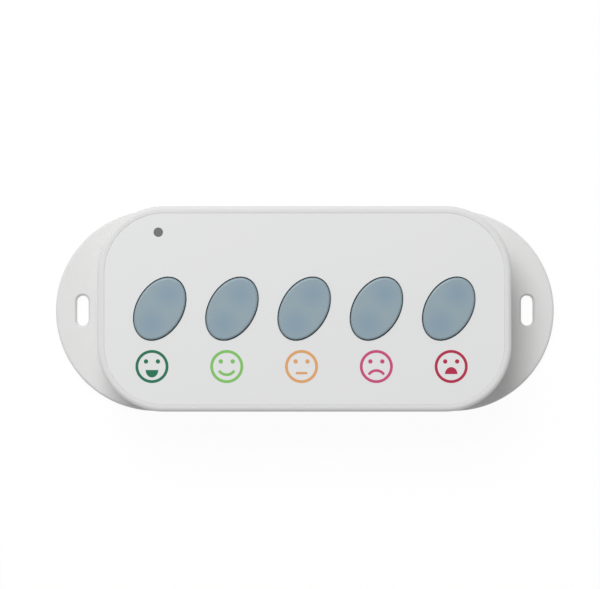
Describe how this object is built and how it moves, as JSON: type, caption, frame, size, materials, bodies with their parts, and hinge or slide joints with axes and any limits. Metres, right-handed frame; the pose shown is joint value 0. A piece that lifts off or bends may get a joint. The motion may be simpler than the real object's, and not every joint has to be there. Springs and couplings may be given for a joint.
{
  "type": "wireless button box",
  "caption": "Shallow white wall or counter box with slotted ears and a row of tilted oval push buttons, each above a rating face; sends a radio message when pressed.",
  "frame": {"origin": "middle of the back plate's back face, on the surface that the box lies on", "axes": "+X along the row of buttons to the right, +Y up the face, +Z out of the face"},
  "size_m": [0.1414, 0.057, 0.0256],
  "materials": {
    "white_housing": "moulded, fine matt",
    "face_film": "printed film, satin",
    "button_grey": "moulded, satin",
    "plunger_brown": "moulded",
    "black_plastic": "moulded",
    "light_pipe": "clear moulded, smoked by the dark below",
    "lamp": "moulded lamp",
    "board_green": "solder mask",
    "plated_steel": "zinc or nickel plated",
    "brass_strip": "rolled strip, bent",
    "battery_can": "plain wrapped cell"
  },
  "bodies": {
    "housing": {"front_cover": "white_housing", "back_plate": "white_housing", "front_label": "face_film", "light_pipe": "light_pipe", "status_led": "lamp", "circuit_board": "board_green", "radio_module": "board_green", "radio_shield": "plated_steel", "antenna": "brass_strip", "sounder": "black_plastic", "program_header": "black_plastic", "battery_holder": "black_plastic", "battery_1": "battery_can", "battery_2": "battery_can", "bridge_contact": "plated_steel", "positive_contact": "plated_steel", "negative_contact": "plated_steel", "case_screws": "plated_steel", "board_screws": "plated_steel", "switch_body_1": "black_plastic", "switch_body_2": "black_plastic", "switch_body_3": "black_plastic", "switch_body_4": "black_plastic", "switch_body_5": "black_plastic"},
    "button_1": {"button_cap_1": "button_grey", "switch_plunger_1": "plunger_brown"},
    "button_2": {"button_cap_2": "button_grey", "switch_plunger_2": "plunger_brown"},
    "button_3": {"button_cap_3": "button_grey", "switch_plunger_3": "plunger_brown"},
    "button_4": {"button_cap_4": "button_grey", "switch_plunger_4": "plunger_brown"},
    "button_5": {"button_cap_5": "button_grey", "switch_plunger_5": "plunger_brown"}
  },
  "joints": [
    {"name": "press_1", "type": "slide", "parent": "housing", "child": "button_1", "axis": [0, 0, -1], "range_m": [0, 0.0005], "stiffness_N_per_m": 1000, "springref_m": -0.0005},
    {"name": "press_2", "type": "slide", "parent": "housing", "child": "button_2", "axis": [0, 0, -1], "range_m": [0, 0.0005], "stiffness_N_per_m": 1000, "springref_m": -0.0005},
    {"name": "press_3", "type": "slide", "parent": "housing", "child": "button_3", "axis": [0, 0, -1], "range_m": [0, 0.0005], "stiffness_N_per_m": 1000, "springref_m": -0.0005},
    {"name": "press_4", "type": "slide", "parent": "housing", "child": "button_4", "axis": [0, 0, -1], "range_m": [0, 0.0005], "stiffness_N_per_m": 1000, "springref_m": -0.0005},
    {"name": "press_5", "type": "slide", "parent": "housing", "child": "button_5", "axis": [0, 0, -1], "range_m": [0, 0.0005], "stiffness_N_per_m": 1000, "springref_m": -0.0005}
  ]
}
